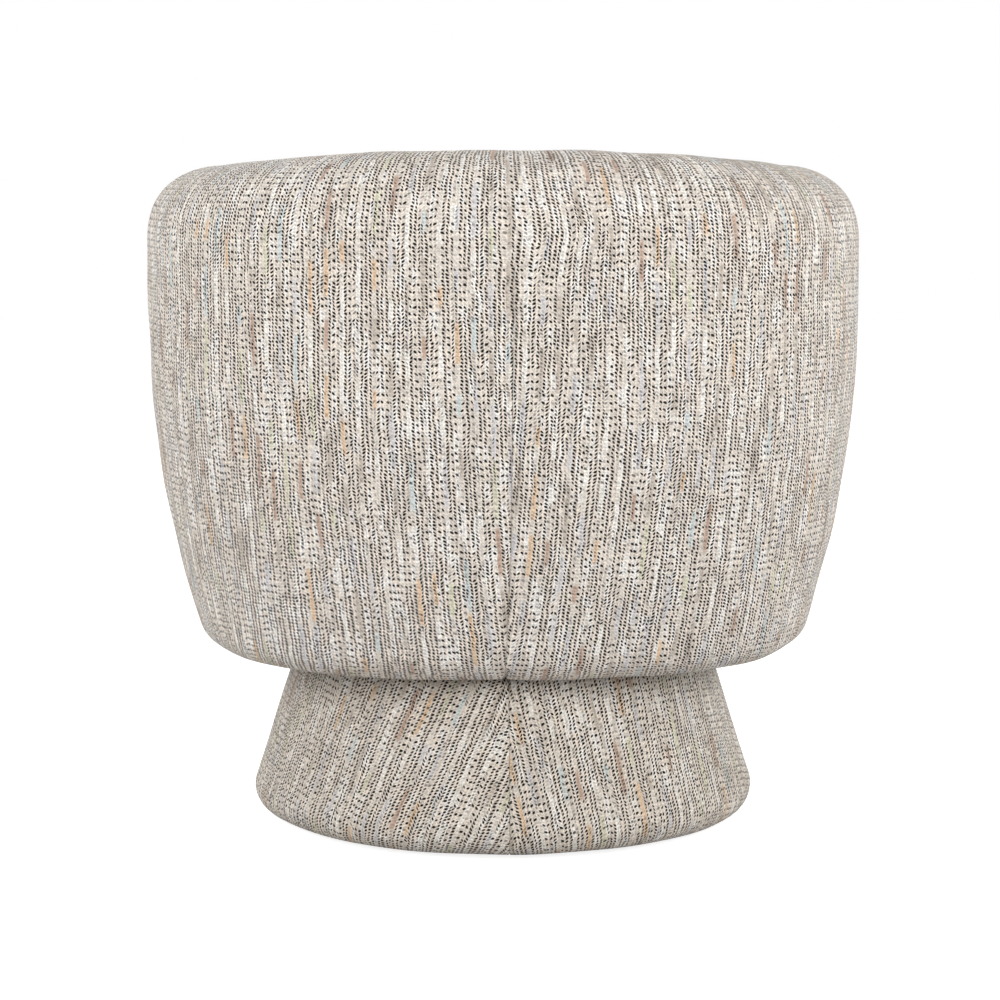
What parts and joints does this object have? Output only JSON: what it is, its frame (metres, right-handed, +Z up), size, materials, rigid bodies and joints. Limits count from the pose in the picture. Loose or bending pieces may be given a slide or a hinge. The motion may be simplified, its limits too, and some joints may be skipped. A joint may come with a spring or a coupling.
{
  "type": "swivel rocker chair",
  "caption": "Upholstered barrel tub chair in pale tweed that turns and rocks on a tapered round plinth covered in the same cloth.",
  "frame": {"origin": "on the floor below the swivel's axis, which is the middle of the chair's box in plan to within 5 mm", "axes": "+Z up along the swivel's axis; the sitter faces -Y; +X is the sitter's left"},
  "size_m": [0.774, 0.6985, 0.732],
  "materials": {
    "tweed": "matte",
    "foam": "matte",
    "black_cloth": "matte",
    "plywood": "matte",
    "steel": "satin",
    "zinc": "satin",
    "nylon": "matte",
    "rubber": "matte"
  },
  "bodies": {
    "base": {"base_cover_left": "tweed", "base_cover_right": "tweed", "base_padding": "foam", "base_wall": "plywood", "base_top_board": "plywood", "base_bottom_ring": "plywood", "base_ribs": "plywood", "base_bottom_cloth": "black_cloth", "base_glides": "nylon", "glide_screws": "zinc", "swivel_lower_plate": "steel", "swivel_mount_bolts": "zinc", "swivel_mount_nuts": "zinc", "swivel_bolt": "zinc", "swivel_washer": "zinc", "swivel_nut": "zinc"},
    "bearing": {"ball_cage": "nylon", "bearing_balls": "zinc"},
    "turntable": {"swivel_upper_plate": "steel", "rocker_bracket": "steel", "bracket_rivets": "zinc", "rocker_pins": "zinc", "rocker_springs": "zinc", "rocker_stops": "rubber"},
    "seat": {"rocker_bushes": "nylon", "seat_plate": "steel", "seat_plate_bolts": "zinc", "seat_plate_nuts": "zinc", "seat_ring": "plywood", "cross_rails": "plywood", "frame_uprights": "plywood", "deck_ring": "plywood", "front_rail": "plywood", "top_rail": "plywood", "outer_liner": "plywood", "outside_padding": "foam", "rim_padding": "foam", "inside_foam": "foam", "inside_cover": "tweed", "outside_cover_left": "tweed", "outside_cover_right": "tweed", "arm_front_pads": "foam", "arm_front_covers": "tweed", "front_border_padding": "foam", "front_border_cover": "tweed", "seat_webbing": "black_cloth", "seat_deck": "black_cloth", "seat_cushion_cover": "tweed", "seat_cushion_core": "foam", "seat_cushion_panel": "black_cloth", "underside_cloth": "black_cloth"}
  },
  "joints": [
    {"name": "swivel", "type": "hinge", "parent": "base", "child": "turntable", "pos_m": [0, 0, 0.18], "axis": [0, 0, 1], "continuous": true},
    {"name": "bearing_spin", "type": "hinge", "parent": "base", "child": "bearing", "pos_m": [0, 0, 0.175], "axis": [0, 0, 1], "continuous": true},
    {"name": "rock", "type": "hinge", "parent": "turntable", "child": "seat", "pos_m": [0, 0, 0.206], "axis": [-1, 0, 0], "range_deg": [-4, 5], "stiffness_Nm_per_rad": 900, "springref_deg": -0.62, "deforming": ["rocker_springs"]}
  ],
  "couplings": [
    {"joint": "bearing_spin", "follows": "swivel", "ratio": 0.5}
  ]
}
